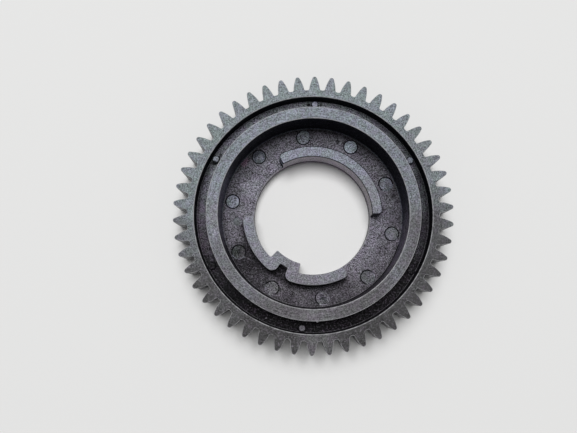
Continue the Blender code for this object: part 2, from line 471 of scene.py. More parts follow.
@dataclass
class KeyedCollar:
    """Two collar arcs about the bore. One of them jogs into the bore as the key."""

    web: RingedWeb
    bore_radius: float = 11.2
    wall: float = 2.0
    rise: float = 3.8
    span: float = math.radians(119.0)
    end_round: float = 0.8
    key_angle: float = math.radians(240.0)
    key_height: float = 1.8
    key_span: float = math.radians(30.7)
    key_wall: float = 1.6
    key_round: float = 0.22
    notch_span: float = math.radians(8.6)
    shoulder_round: float = 1.3
    corner_round: float = 0.32
    edge_round: float = 0.17
    foot_round: float = 0.2
    back_chamfer: float = 0.3
    parting_height: float = 1.45
    parting_width: float = 0.45
    parting_depth: float = 0.06
    arc_end_blend: float = 0.25
    corner_points: int = 11
    bore_points: int = 91
    key_points: int = 8
    cut_below: float = 0.2
    cut_above: float = 1.0

    @property
    def outer_radius(self) -> float:
        """Outer radius of the arcs."""
        return self.bore_radius + self.wall

    @property
    def key_radius(self) -> float:
        """Distance of the key's face from the axis."""
        return self.bore_radius - self.key_height

    @property
    def top(self) -> float:
        """Height of the arcs' tops."""
        return self.web.web_floor + self.rise

    def corner(self, side: float, into: int, radius: float) -> tuple[Points, float]:
        """Rounded corner between a radial side and the outer circle.

        Args:
            side: Angle of the radial side.
            into: 1 where the material lies at larger angles than the side, -1 at smaller ones.
            radius: The rounding.

        Returns:
            The points from the side to the circle, and the angle where the circle starts.
        """
        centre_radius = self.outer_radius - radius
        centre_angle = side + into * math.asin(radius / centre_radius)
        turns = np.linspace(side - into * math.pi / 2.0, centre_angle, self.corner_points)
        return polar(centre_radius, centre_angle) + polar(radius, turns), centre_angle

    def band(self, start: float, end: float, start_round: float, end_round: float) -> Points:
        """Outer side of an arc between two radial sides, anticlockwise.

        Args:
            start: Angle of the first side.
            end: Angle of the last side.
            start_round: Rounding of the corner at the first side.
            end_round: Rounding of the corner at the last side.

        Returns:
            The points from one side to the other.
        """
        first, first_angle = self.corner(start, 1, start_round)
        last, last_angle = self.corner(end, -1, end_round)
        circle = arc(self.outer_radius, first_angle, last_angle)[1:-1]
        return np.concatenate([first, circle, last[::-1]])

    def outlines(self) -> list[Points]:
        """Outlines of the two arcs, which reach inside the bore.

        Returns:
            The plain arc's outline and the keyed one's.
        """
        core = self.key_radius - SPARE
        half = self.span / 2.0
        opposite = self.key_angle - TURN / 2.0
        start, end = self.key_angle - half, self.key_angle + half
        notch_start = self.key_angle - self.notch_span / 2.0
        notch_end = self.key_angle + self.notch_span / 2.0
        plain = [
            self.band(opposite - half, opposite + half, self.end_round, self.end_round),
            arc(core, opposite + half, opposite - half),
        ]
        keyed = [
            self.band(start, notch_start, self.end_round, self.shoulder_round),
            arc(self.key_radius + self.key_wall, notch_start, notch_end),
            self.band(notch_end, end, self.shoulder_round, self.end_round),
            arc(core, end, start),
        ]
        return [softened(np.concatenate(sides), self.corner_round) for sides in (plain, keyed)]

    def arcs(self) -> bpy.types.Object:
        """Both collar arcs, rounded at the top and with a fillet at the foot.

        Returns:
            The helper solid.
        """
        floor = self.web.web_floor
        columns = []
        for outline in self.outlines():
            foot = [
                (grown(outline, self.foot_round - rise), floor + up - SINK)
                for up, rise in quarter(self.foot_round)
            ]
            head = rounded_edge(outline, self.edge_round, self.top - self.edge_round)
            cap = (grown(outline, -self.edge_round), self.top)
            columns.append([(foot[0][0], floor - SPARE), *foot, *head, cap])
        return lofts("collar_arcs", columns)

    def under_arc(self, points: Points) -> Points:
        """How far each point of the bore's outline is under a collar arc.

        Args:
            points: Outline of the bore.

        Returns:
            One share for each point, 1 under an arc and 0 in the gaps between the arcs.
        """
        angles = np.arctan2(points[:, 1], points[:, 0])
        away = np.abs((angles - self.key_angle + math.pi / 2.0) % math.pi - math.pi / 2.0)
        beyond = (away - self.span / 2.0) * self.bore_radius
        return 1.0 - np.clip((beyond - self.arc_end_blend) / self.arc_end_blend, 0.0, 1.0)

    def bore_outline(self, growth: float) -> Points:
        """Outline of the bore and its key, cut wider all round.

        Args:
            growth: How much wider it is on each side.

        Returns:
            The outline, always with the same number of points.
        """
        half = self.key_span / 2.0 - growth / self.bore_radius
        start, end = self.key_angle - half, self.key_angle + half
        bore = polar(self.bore_radius + growth, np.linspace(end, start + TURN, self.bore_points))
        key = polar(self.key_radius + growth, np.linspace(start, end, self.key_points))
        return softened(np.concatenate([bore, key]), self.key_round)

    def bore(self) -> bpy.types.Object:
        """Column that cuts the bore round the key, flared where the bore's edges are rounded.

        Returns:
            The helper solid.
        """
        outline = self.bore_outline(0.0)
        covered = self.under_arc(outline)
        floor, line, back = self.web.web_floor, self.parting_height, self.back_chamfer
        chamfer_heights = (-self.cut_below, 0.0, back / 2.0)
        levels = [(self.bore_outline(back - height), height) for height in chamfer_heights]
        heights = [back, line - self.parting_width, line, line + self.parting_width]
        for level in (floor, self.top):
            start = level - self.edge_round + SINK
            heights += [start + rise for _, rise in quarter(self.edge_round)]
        heights.append(self.web.ring_top + self.cut_above)
        for height in heights:
            groove = self.parting_depth if height == line else 0.0
            in_gap, at_top = (self.flare(height, level) for level in (floor, self.top))
            out = groove + covered * at_top + (1.0 - covered) * in_gap
            levels.append((grown(outline, out), height))
        return lofts("bore", [levels])

    def flare(self, height: float, level: float) -> float:
        """How much wider the bore is at a height because its edge at a level is rounded.

        Args:
            height: Height of the place in the bore.
            level: Height of the face that the rounded edge leads to.

        Returns:
            The distance, 0 below the rounding and constant above it.
        """
        above_start = max(height - level + self.edge_round - SINK, 0.0)
        rise = min(above_start, quarter(self.edge_round)[-1][1])
        return self.edge_round - math.sqrt(self.edge_round**2 - rise**2)


@dataclass(frozen=True)
class EjectorMark:
    """One round scar of an ejector pin or a gate in the web, its directions in degrees."""

    angle: float
    sink: float = 0.10
    lean: float = 0.0
    lean_to: float = 0.0
    moat: float = 0.16
    moat_at: float = 90.0
    moat_reach: float = 0.5
    lip: float = 0.0
    lip_at: float = 270.0
    rough: float = 0.0
    inner_ring: float = 0.0
    radius: float = 1.45
    circle: float | None = None

    def moat_share(self, turn: Points) -> Points:
        """How deep the hollow round the disc is in each direction, from 0 to 1."""
        facing = 0.5 + 0.5 * np.cos(turn - math.radians(self.moat_at))
        return (self.moat_reach + (1.0 - self.moat_reach) * facing) * (1.0 - self.lip_share(turn))

    def lip_share(self, turn: Points) -> Points:
        """How much of the raised lip there is in each direction, from 0 to 1."""
        facing = np.maximum(np.cos(turn - math.radians(self.lip_at)), 0.0)
        return facing if self.lip else np.zeros_like(facing)


@dataclass
class EjectorMarks:
    """The marks in the web, each as uneven as the real one."""

    web: RingedWeb
    wall_gap: float = 0.35
    moat_width: float = 0.24
    dark_below: float = 0.10
    ring_share: float = 0.62
    ring_width: float = 0.12
    around: int = 60
    corner_offset: float = 0.37
    disc_loops: int = 9
    moat_loops: int = 7
    first_loop: float = 0.08
    outer_loops: tuple[float, float] = (0.06, 0.35)
    cut_above: float = 1.2
    pad_inset: float = 0.03
    pad_heights: tuple[float, float] = (-0.6, 0.3)
    marks: tuple[EjectorMark, ...] = (
        EjectorMark(60.8, sink=-0.03, lean=0.03, lean_to=120.0, moat=0.26, moat_at=320.0),
        EjectorMark(24.0, sink=0.06, moat=0.22, moat_at=120.0, moat_reach=0.3),
        EjectorMark(
            347.6, sink=0.08, lean=0.03, lean_to=250.0, moat=0.22, moat_at=120.0, moat_reach=0.42
        ),
        EjectorMark(
            312.0, sink=0.06, lean=0.05, lean_to=180.0, moat=0.18, moat_at=150.0, lip=0.12, lip_at=330.0
        ),
        EjectorMark(276.5, moat_at=210.0, moat_reach=0.2, lip=0.10, lip_at=310.0, rough=0.05),
        EjectorMark(240.0, lean=0.02, lean_to=220.0, moat=0.20, moat_at=50.0, lip=0.08, lip_at=220.0),
        EjectorMark(
            205.0, sink=0.20, moat=0.24, moat_reach=0.7, lip=0.12, lip_at=265.0, rough=0.05,
            inner_ring=0.05,
        ),
        EjectorMark(168.5, sink=0.06, moat=0.18, moat_at=60.0, moat_reach=0.6),
        EjectorMark(130.8, sink=0.16, moat=0.24, moat_at=20.0, moat_reach=0.75, inner_ring=0.10),
        EjectorMark(
            95.8, sink=0.05, lean=0.03, lean_to=60.0, moat=0.20, moat_at=230.0, moat_reach=0.3
        ),
        EjectorMark(183.0, sink=0.04, moat=0.05, radius=0.9, circle=14.4, rough=0.01),
    )

    def places(self) -> list[tuple[EjectorMark, Points]]:
        """Where the marks are.

        Returns:
            Each mark with the middle of its disc.
        """
        made = []
        for mark in self.marks:
            circle = mark.circle or self.web.ring_inner - mark.radius - self.wall_gap
            made.append((mark, polar(circle, math.radians(mark.angle))[0]))
        return made

    def relief(self, mark: EjectorMark, reach: Points, turn: Points, noise: Points) -> Points:
        """Height of a mark's surface above the web.

        Args:
            mark: The mark.
            reach: Distances from its middle.
            turn: Directions in radians.
            noise: Random numbers between -1 and 1 for its roughness.

        Returns:
            Heights in the shape of the arguments.
        """
        disc = mark.radius - self.moat_width
        lean = mark.lean * reach / mark.radius * np.cos(turn - math.radians(mark.lean_to))
        from_ring = (reach - self.ring_share * mark.radius) / self.ring_width
        ring = mark.inner_ring * np.exp(-(from_ring**2))
        inside = -mark.sink + lean - ring + mark.rough * noise
        share = np.clip((reach - disc) / self.moat_width, 0.0, 1.0)
        rise = mark.lip * mark.lip_share(turn) - mark.moat * mark.moat_share(turn)
        height = (1.0 - share) * inside + rise * np.sin(math.pi * share)
        return np.where(reach > mark.radius, reach - mark.radius, height)

    def pads(self) -> bpy.types.Object:
        """Low discs that give the raised marks their material.

        Returns:
            The helper solid.
        """
        columns = []
        for mark, middle in self.places():
            outline = polar(mark.radius - self.pad_inset, directions(self.around)) + middle
            columns.append([(outline, self.web.web_floor + height) for height in self.pad_heights])
        return lofts("mark_pads", columns)

    def cutters(self) -> bpy.types.Object:
        """Solids whose undersides have the marks' relief.

        Returns:
            The helper solid.
        """
        random = np.random.default_rng(7)
        turns = directions(self.around, self.corner_offset)
        floor = self.web.web_floor
        columns = []
        for mark, middle in self.places():
            disc = mark.radius - self.moat_width
            inner = np.linspace(self.first_loop, 1.0, self.disc_loops) * disc
            moat = disc + np.linspace(0.0, 1.0, self.moat_loops)[1:] * self.moat_width
            outer = [mark.radius + beyond for beyond in self.outer_loops]
            levels = []
            for reach in [*inner, *moat, *outer]:
                noise = random.uniform(-1.0, 1.0, self.around) * (reach < disc)
                height = self.relief(mark, np.full(self.around, reach), turns, noise)
                levels.append((polar(reach, turns) + middle, floor + SINK + height))
            levels.append((polar(outer[-1], turns) + middle, floor + self.cut_above))
            columns.append(levels)
        return lofts("mark_cutters", columns)


@dataclass
class GroovePins:
    """Small round pins that stand in the groove, and a nib of flash left on the ring's edge."""

    web: RingedWeb
    angles: tuple[float, ...] = (29.0, 88.4, 149.5, 206.5, 264.0, 330.0)
    rises: tuple[float, ...] = (0.9, 1.0, 1.0, 0.6, 1.0, 0.5)
    radius: float = 0.68
    wall_gap: float = 0.25
    edge_round: float = 0.16
    foot_steps: tuple[tuple[float, float], ...] = ((0.15, -0.02), (0.05, 0.05), (0.0, 0.16))
    around: int = 32
    corner_offset: float = 0.37
    nib_angle: float = 271.3
    nib_radius: float = 0.22
    nib_below_top: float = 0.12
    nib_drop: float = 0.9
    nib_steps: tuple[tuple[float, float], ...] = (
        (0.3, 1.0), (0.8, 0.8), (1.0, 0.4), (0.9, 0.1), (0.5, 0.0)
    )

    def places(self) -> Points:
        """The middle of each pin."""
        circle = self.web.rim.inner_radius - self.radius - self.wall_gap
        return polar(circle, np.radians(self.angles))

    def solids(self) -> bpy.types.Object:
        """The pins and the nib.

        Returns:
            The helper solid.
        """
        turns = directions(self.around, self.corner_offset)
        floor = self.web.groove_floor
        columns = []
        for middle, rise in zip(self.places(), self.rises):
            start = floor + rise - self.edge_round
            steps = [(self.foot_steps[0][0], floor - SPARE)]
            steps += [(out, floor + up) for out, up in self.foot_steps]
            steps += [(-inset, start + up) for inset, up in quarter(self.edge_round)]
            columns.append([(polar(self.radius + out, turns) + middle, height) for out, height in steps])
        nib = polar(self.web.ring_outer, math.radians(self.nib_angle))
        top = self.web.ring_top - self.nib_below_top
        columns.append([
            (polar(self.nib_radius * size, turns) + nib, top - self.nib_drop * drop)
            for size, drop in self.nib_steps
        ])
        return lofts("groove_pins", columns)


class Faces:
    """Middles and normals of a mesh's faces, and which way the faces look."""

    def __init__(self, mesh: bpy.types.Mesh) -> None:
        """Reads the faces of a mesh.

        Args:
            mesh: The mesh, in millimetres.
        """
        values = {name: np.empty(len(mesh.polygons) * 3) for name in ("center", "normal")}
        for name, numbers in values.items():
            mesh.polygons.foreach_get(name, numbers)
        self.centres, normals = (numbers.reshape(-1, 3) for numbers in values.values())
        self.reach = np.hypot(self.centres[:, 0], self.centres[:, 1])
        self.height, self.up = self.centres[:, 2], normals[:, 2]
        self.rising, self.level = self.up > SLOPE, self.up > LEVEL
        self.upright = np.abs(self.up) <= SLOPE
        self.inward = np.sum(self.centres[:, :2] * normals[:, :2], axis=1) < 0.0


@dataclass
class RollerGear:
    """The whole moulding, made from its sub-assemblies."""

    rim: ToothedRim = field(default_factory=ToothedRim)
    web: RingedWeb = field(init=False)
    collar: KeyedCollar = field(init=False)
    marks: EjectorMarks = field(init=False)
    pins: GroovePins = field(init=False)
    smooth_below: float = math.radians(32.0)
    touch: float = 0.05
    web_band: float = 0.25
    bore_band: float = 0.2

    def __post_init__(self) -> None:
        """Makes the sub-assemblies that build on the rim's sizes."""
        self.web = RingedWeb(self.rim)
        self.collar = KeyedCollar(self.web)
        self.marks = EjectorMarks(self.web)
        self.pins = GroovePins(self.web)

    def build(self) -> bpy.types.Object:
        """Models the moulding and puts it into the frame, in metres.

        Returns:
            The finished piece.
        """
        gear = self.web.blank()
        steps = [
            (Cut.KEEP_INSIDE, self.rim.mould()),
            (Cut.JOIN, self.collar.arcs()),
            (Cut.REMOVE, self.collar.bore()),
            (Cut.JOIN, self.marks.pads()),
            (Cut.REMOVE, self.marks.cutters()),
            (Cut.JOIN, self.pins.solids()),
        ]
        shaped(gear, steps)
        gear.data.materials.clear()
        self.sort_faces(gear.data)
        gear.data.transform(Matrix.Scale(MM, 4))
        gear.data.shade_smooth()
        gear.data.set_sharp_from_angle(angle=self.smooth_below)
        flat = gear.modifiers.new("flat_faces", "WEIGHTED_NORMAL")
        flat.keep_sharp = True
        gear.name = "gear_moulding"
        return gear

    def sort_faces(self, mesh: bpy.types.Mesh) -> None:
        """Gives each face the material slot of its zone.

        Args:
            mesh: The moulding's mesh, in millimetres.
        """
        faces = Faces(mesh)
        slots = np.full(len(mesh.polygons), Zone.WALL.value)
        for rules in (self.floor_rules, self.wall_rules, self.pin_rules, self.mark_rules):
            for zone, where in rules(faces):
                slots[where] = zone.value
        mesh.polygons.foreach_set("material_index", slots.astype(np.int32))

    def on_web(self, faces: Faces) -> Points:
        """Which faces lie within the ring and not above the web."""
        low = faces.height < self.web.web_floor + self.web_band
        return low & (faces.reach < self.web.ring_inner + self.touch)

    def floor_rules(self, faces: Faces) -> list[Rule]:
        """Zones of the faces that look up.

        Args:
            faces: The moulding's faces.

        Returns:
            Each zone with the faces that it takes, later ones over earlier ones.
        """
        web, rim, collar, touch = self.web, self.rim, self.collar, self.touch
        groove_band, foot_band, collar_band, rim_above_groove, foot_sine = 0.3, 0.5, 0.5, 1.5, -0.3
        reach, height, rising = faces.reach, faces.height, faces.rising
        sloped, on_web = rising & ~faces.level, self.on_web(faces)
        beside_collar = collar.outer_radius + collar_band
        between_walls = (reach > web.ring_outer - touch) & (reach < rim.inner_radius + touch)
        in_groove = between_walls & (height < web.groove_floor + groove_band)
        at_bore = reach < collar.bore_radius + self.bore_band
        on_ring = (reach > beside_collar) & (reach < web.ring_outer + touch)
        on_rim = (height > web.groove_floor + rim_above_groove) & (reach > rim.inner_radius - touch)
        at_ring_foot = (reach > web.ring_inner - foot_band) & (faces.centres[:, 1] > foot_sine * reach)
        return [
            (Zone.COLLAR, rising & (reach < beside_collar)),
            (Zone.GROOVE, rising & between_walls),
            (Zone.RING, rising & on_ring),
            (Zone.RIM, rising & on_rim),
            (Zone.WEB, rising & on_web),
            (Zone.GROOVE, rising & in_groove),
            # Fillets on the web and in the groove take the near-black crease finish: painted shade in the
            # corners, partly grease.
            (Zone.CREASE, sloped & (on_web & ~at_bore | in_groove)),
            (Zone.FOOT, sloped & on_web & at_ring_foot),
        ]

    def wall_rules(self, faces: Faces) -> list[Rule]:
        """Zones of the upright walls, the bore, the arcs' edges and the back.

        Args:
            faces: The moulding's faces.

        Returns:
            Each zone with the faces that it takes, later ones over earlier ones.
        """
        web, rim, collar = self.web, self.rim, self.collar
        arc_band, tooth_band, rim_band = 0.3, 0.5, 0.1
        y, reach, height, upright = faces.centres[:, 1], faces.reach, faces.height, faces.upright
        by_lower_arc = (reach < collar.outer_radius + arc_band) & (y < 0.0)
        in_bore = faces.inward & (reach < collar.bore_radius + self.bore_band)
        at_line = np.abs(height - collar.parting_height) < collar.parting_width
        not_under = ~faces.level & (faces.up > -self.touch)
        on_arc = (reach < collar.outer_radius + self.touch) & (height > collar.top - arc_band)
        on_rim_wall = (np.abs(reach - rim.inner_radius) < rim_band) & (height > web.groove_floor)
        return [
            (Zone.TOOTH, upright & (reach > web.ring_outer - tooth_band)),
            # Painted shadow on the walls beside the lower, keyed arc.
            (Zone.CREASE, upright & by_lower_arc & (height > web.web_floor)),
            (Zone.BORE, in_bore & (faces.up <= SLOPE)),
            (Zone.CREASE, in_bore & at_line),
            # Painted shade on the upper arc's rounded edges, which face away from the lamp.
            (Zone.CREASE, not_under & on_arc & (y > 0.0)),
            # Painted shade: the rim's inner wall is near-black, also where the lamp lights it.
            (Zone.CREASE, upright & on_rim_wall),
            (Zone.BACK, faces.up < -SLOPE),
        ]

    def pin_rules(self, faces: Faces) -> list[Rule]:
        """Zones of the pins: dark round their edges, and pale on the tops of the tall ones.

        Args:
            faces: The moulding's faces.

        Returns:
            Each zone with the faces that it takes, later ones over earlier ones.
        """
        foot, tall = 0.2, 0.75
        above_floor = faces.height - self.web.groove_floor
        rules = []
        for middle in self.pins.places():
            away = np.hypot(*(faces.centres[:, :2] - middle).T)
            on_pin = (away < self.pins.radius) & faces.rising & (above_floor > foot)
            rules.append((Zone.CREASE, on_pin & ~faces.level))
            rules.append((Zone.COLLAR, on_pin & faces.level & (above_floor > tall)))
        return rules

    def mark_rules(self, faces: Faces) -> list[Rule]:
        """Zones of the ejector marks: disc, dark hollow, painted as shade and partly grime, and pale lip,
        painted paler as a highlight.

        Args:
            faces: The moulding's faces.

        Returns:
            Each zone with the faces that it takes, later ones over earlier ones.
        """
        least_relief, lowest, least_lip = 0.003, 1.5, 0.5
        off_floor = np.abs(faces.height - self.web.web_floor) > least_relief
        uneven = self.on_web(faces) & off_floor & (faces.up > 0.0) & (faces.height > lowest)
        rules = []
        for mark, middle in self.marks.places():
            across, along = (faces.centres[:, :2] - middle).T
            away, turn = np.hypot(across, along), np.arctan2(along, across)
            inside = uneven & (away < mark.radius)
            edge = inside & (away > mark.radius - self.marks.moat_width)
            hollow = mark.moat_share(turn) * mark.moat > self.marks.dark_below
            rules.append((Zone.MARK, inside))
            # Painted shade, partly grime: the deeper side of the hollow is near-black.
            rules.append((Zone.CREASE, edge & hollow))
            # Painted highlight: the raised lip is paler.
            rules.append((Zone.LIP, edge & (mark.lip_share(turn) > least_lip)))
        return rules


def shaped(blank: bpy.types.Object, steps: Sequence[tuple[Cut, bpy.types.Object]]) -> None:
    """Changes an object's mesh by helper solids and removes the helpers.

    Args:
        blank: The object.
        steps: Each helper with what it does, in their order.
    """
    for cut, helper in steps:
        modifier = blank.modifiers.new(helper.name, "BOOLEAN")
        modifier.operation = cut.value
        modifier.solver = "EXACT"
        modifier.object = helper
    graph = bpy.context.evaluated_depsgraph_get()
    result = bpy.data.meshes.new_from_object(blank.evaluated_get(graph))
    blank.modifiers.clear()
    blank.data = result
    faces = bmesh.new()
    faces.from_mesh(result)
    bmesh.ops.holes_fill(faces, edges=[edge for edge in faces.edges if edge.is_boundary], sides=4)
    faces.to_mesh(result)
    faces.free()
    for _, helper in steps:
        bpy.data.meshes.remove(helper.data)


class Nodes:
    """Short way to write a node tree: most methods add a node and give its output."""

    def __init__(self, tree: bpy.types.NodeTree) -> None:
        """Keeps the tree that the nodes go into."""
        self.tree = tree

    def add(self, kind: str, *values: object, **inputs: object) -> bpy.types.Node:
        """Adds a node.

        Args:
            kind: The node's type name, without the ShaderNode that such names start with.
            *values: Its first inputs in their order, each a socket to link or a value.
            **inputs: Other inputs by name, with _ for a space.

        Returns:
            The node.
        """
        node = self.tree.nodes.new("ShaderNode" + kind)
        for index, value in enumerate(values):
            self.feed(node.inputs[index], value)
        for name, value in inputs.items():
            self.feed(node.inputs[name.replace("_", " ")], value)
        return node

    def feed(self, socket: Socket, value: object) -> None:
        """Links a socket to an input, or sets the input's value. A colour is given by three shares.

        Args:
            socket: The input.
            value: A socket or a value.
        """
        if isinstance(value, bpy.types.NodeSocket):
            self.tree.links.new(value, socket)
        else:
            socket.default_value = (*value, 1.0) if socket.type == "RGBA" else value

    def maths(self, operation: str, *values: object) -> Socket:
        """Output of a Math node.

        Args:
            operation: The node's operation.
            *values: Its operands, sockets or numbers.

        Returns:
            The output.
        """
        node = self.add("Math", *values)
        node.operation = operation
        return node.outputs[0]

    def product(self, first: object, *others: object) -> Socket:
        """The product of two or more sockets or numbers.

        Args:
            first: The first factor.
            *others: The other factors.

        Returns:
            The output.
        """
        for other in others:
            first = self.maths("MULTIPLY", first, other)
        return first

    def between(
        self, value: Socket, low: object, high: object, start: object = 0.0, end: object = 1.0
    ) -> Socket:
        """Smooth step of a value.

        Args:
            value: The value.
            low: Where the step starts.
            high: Where it ends.
            start: Result below low.
            end: Result above high.

        Returns:
            The output.
        """
        node = self.add("MapRange")
        node.interpolation_type = "SMOOTHSTEP"
        for socket, part in zip(node.inputs, (value, low, high, start, end)):
            self.feed(socket, part)
        return node.outputs[0]

    def fading(self, value: Socket, low: object, high: object) -> Socket:
        """Smooth step down of a value, from 1 below low to 0 above high."""
        return self.between(value, low, high, 1.0, 0.0)

    def noise(self, place: Socket, scale: float, detail: float = 2.0, roughness: float = 0.5) -> Socket:
        """Noise of about 0.5 on average at a place.

        Args:
            place: Coordinates.
            scale: How many times it changes in one unit.
            detail: Number of finer layers.
            roughness: Strength of the finer layers.

        Returns:
            The Fac output.
        """
        made = self.add("TexNoise", Vector=place, Scale=scale, Detail=detail, Roughness=roughness)
        return made.outputs["Fac"]

    def ragged(self, place: Socket, scale: float, detail: float, spread: float, least: float) -> Socket:
        """Factor that makes the outline of a mask uneven.

        Args:
            place: Coordinates.
            scale: How many times it changes in one unit.
            detail: Number of finer layers.
            spread: Twice the factor's usual height above the least one.
            least: The least factor.

        Returns:
            The output.
        """
        return self.maths("MULTIPLY_ADD", self.noise(place, scale, detail, 0.6), spread, least)

    def round_axis(self, place: Socket) -> tuple[Socket, Socket, Socket, Socket]:
        """Coordinates x, y and z of a place, and its distance from the axis.

        Args:
            place: Coordinates.

        Returns:
            The four outputs.
        """
        x, y, z = self.add("SeparateXYZ", Vector=place).outputs
        square = self.product(x, x)
        return x, y, z, self.maths("SQRT", self.maths("MULTIPLY_ADD", y, y, square))

    def upward(self) -> Socket:
        """How much the surface looks up, from -1 to 1."""
        normal = self.add("NewGeometry").outputs["Normal"]
        return self.add("SeparateXYZ", Vector=normal).outputs["Z"]

    def mixed(self, share: object, first: object, second: object, blend: str = "MIX") -> Socket:
        """Mix of two colours.

        Args:
            share: Share of the second colour.
            first: First colour.
            second: Second colour.
            blend: The node's blend type.

        Returns:
            The colour.
        """
        node = self.add("Mix")
        node.data_type = "RGBA"
        node.blend_type = blend
        factor, colours, result = 0, (6, 7), 2
        self.feed(node.inputs[factor], share)
        for index, colour in zip(colours, (first, second)):
            self.feed(node.inputs[index], colour)
        return node.outputs[result]

    def tinted(self, colour: object, tint: object, share: object = 1.0) -> Socket:
        """A colour multiplied by a share of a tint."""
        return self.mixed(share, colour, tint, "MULTIPLY")


Body = Callable[[Nodes, Sockets], Sockets]


@dataclass(frozen=True)
class Effect:
    """A node group that several materials use. Its first input is Place, in millimetres."""

    name: str
    inputs: dict[str, float | None]
    body: Body

    def group(self) -> bpy.types.NodeTree:
        """The node group, built the first time that it is asked for.

        Returns:
            The shader node group.
        """
        if self.name in bpy.data.node_groups:
            return bpy.data.node_groups[self.name]
        tree = bpy.data.node_groups.new(self.name, "ShaderNodeTree")
        for name, value in {"Place": None, **self.inputs}.items():
            kind = "NodeSocketVector" if value is None else "NodeSocketFloat"
            socket = tree.interface.new_socket(name.replace("_", " "), in_out="INPUT", socket_type=kind)
            if value is not None:
                socket.default_value = value
        nodes = Nodes(tree)
        entry = tree.nodes.new("NodeGroupInput")
        results = self.body(nodes, {socket.name: socket for socket in entry.outputs if socket.name})
        for name in results:
            tree.interface.new_socket(name, in_out="OUTPUT", socket_type="NodeSocketFloat")
        leave = tree.nodes.new("NodeGroupOutput")
        for name, socket in results.items():
            nodes.feed(leave.inputs[name], socket)
        return tree

    def place(self, nodes: Nodes, place: Socket, **inputs: object) -> Sockets:
        """Puts the group into a tree.

        Args:
            nodes: The tree.
            place: Coordinates in millimetres.
            **inputs: Its other inputs by name, with _ for a space.

        Returns:
            The group's outputs by name.
        """
        node = nodes.add("Group")
        node.node_tree = self.group()
        for name, value in {"Place": place, **inputs}.items():
            nodes.feed(node.inputs[name.replace("_", " ")], value)
        return {socket.name: socket for socket in node.outputs}

    def mask(self, nodes: Nodes, place: Socket, **inputs: object) -> Socket:
        """Puts the group into a tree and gives its Mask."""
        return self.place(nodes, place, **inputs)["Mask"]


def effect(**inputs: float | None) -> Callable[[Body], Effect]:
    """Turns the function below it into an effect of the same name.

    Args:
        **inputs: The group's inputs after Place, with _ for a space. Each is a number with its usual
            value, or a vector where it is None.

    Returns:
        The decorator.
    """
    return lambda body: Effect(body.__name__, inputs, body)


@effect(Cloud=0.5, Patch=0.3, Speckle=0.4, Streak=0.2)
def plastic_mottle(nodes: Nodes, given: Sockets) -> Sockets:
    """Cloudy and speckled tone of filled plastic.

    Args:
        nodes: The group's tree.
        given: The group's inputs.

    Returns:
        Tone about 1, a Drift from 0 at the bottom of the gear to 1 at its top, which places painted sheen
        and painted shade, a Blotch from 0 to 1 for tints a millimetre or so wide, and Grit from 0 to 1 for
        what lies in the grease and the painted shade.
    """
    place = given["Place"]
    x, y, _, reach = nodes.round_axis(place)
    cosine, sine = (nodes.product(nodes.maths("DIVIDE", part, reach), 3.0) for part in (x, y))
    around = nodes.add("CombineXYZ", X=cosine, Y=sine, Z=nodes.product(reach, 2.4))
    # Drift rises from the bottom of the gear to its top: the finishes lay painted sheen where it is high,
    # and painted shade with grease where it is low.
    uneven = nodes.maths("MULTIPLY_ADD", nodes.noise(place, 0.12), 40.0, -20.0)
    upward = nodes.maths("ADD", nodes.maths("MULTIPLY_ADD", x, -0.08, uneven), y)
    drift = nodes.between(upward, -20.0, 12.0)
    layers = (
        (nodes.noise(place, 0.16, 3.0, 0.55), given["Cloud"]),
        (nodes.noise(place, 0.9, 3.0, 0.6), given["Patch"]),
        (nodes.noise(place, 4.6, 1.0, 0.6), given["Speckle"]),
        (nodes.noise(around.outputs["Vector"], 1.0, 2.0, 0.6), nodes.product(drift, given["Streak"])),
    )
    tone = 1.0
    for noise, strength in layers:
        tone = nodes.maths("MULTIPLY_ADD", nodes.maths("SUBTRACT", noise, 0.5), strength, tone)
    return {
        "Tone": nodes.maths("MAXIMUM", tone, 0.05),
        "Drift": drift,
        "Blotch": nodes.between(nodes.noise(place, 0.7, 2.0, 0.6), 0.35, 0.65),
        "Grit": nodes.between(nodes.noise(place, 2.7, 2.0, 0.65), 0.46, 0.70),
    }


@effect(Waves=0.02, Grain=0.02, Turning=0.0)
def mould_grain(nodes: Nodes, given: Sockets) -> Sockets:
    """Fine grain of a spark-eroded mould, with faint rings from the turning of the mould.

    Args:
        nodes: The group's tree.
        given: The group's inputs.

    Returns:
        The Height in millimetres.
    """
    place = given["Place"]
    coarse = nodes.product(nodes.noise(place, 1.4, 2.0, 0.6), given["Waves"])
    fine = nodes.product(nodes.noise(place, 4.6, 1.0, 0.7), given["Grain"])
    _, _, _, reach = nodes.round_axis(place)
    ring = nodes.maths("SINE", nodes.product(reach, 12.0))
    faint = nodes.between(nodes.noise(place, 0.25), 0.42, 0.6)
    rings = nodes.product(ring, faint, given["Turning"])
    return {"Height": nodes.maths("ADD", nodes.maths("ADD", coarse, fine), rings)}


@effect(Amount=1.0)
def edge_wear(nodes: Nodes, given: Sockets) -> Sockets:
    """Mask of the rounded edges, which are neither upright nor level, broken up by wear. They are laid
    pale, as wear and partly as a painted highlight.

    Args:
        nodes: The group's tree.
        given: The group's inputs.

    Returns:
        The Mask.
    """
    slope = nodes.maths("ABSOLUTE", nodes.upward())
    band = nodes.product(nodes.between(slope, 0.08, 0.3), nodes.fading(slope, 0.9, 0.995))
    worn = nodes.between(nodes.noise(given["Place"], 1.3, 3.0, 0.65), 0.3, 0.62, 0.35, 1.0)
    return {"Mask": nodes.product(band, nodes.product(worn, given["Amount"]))}


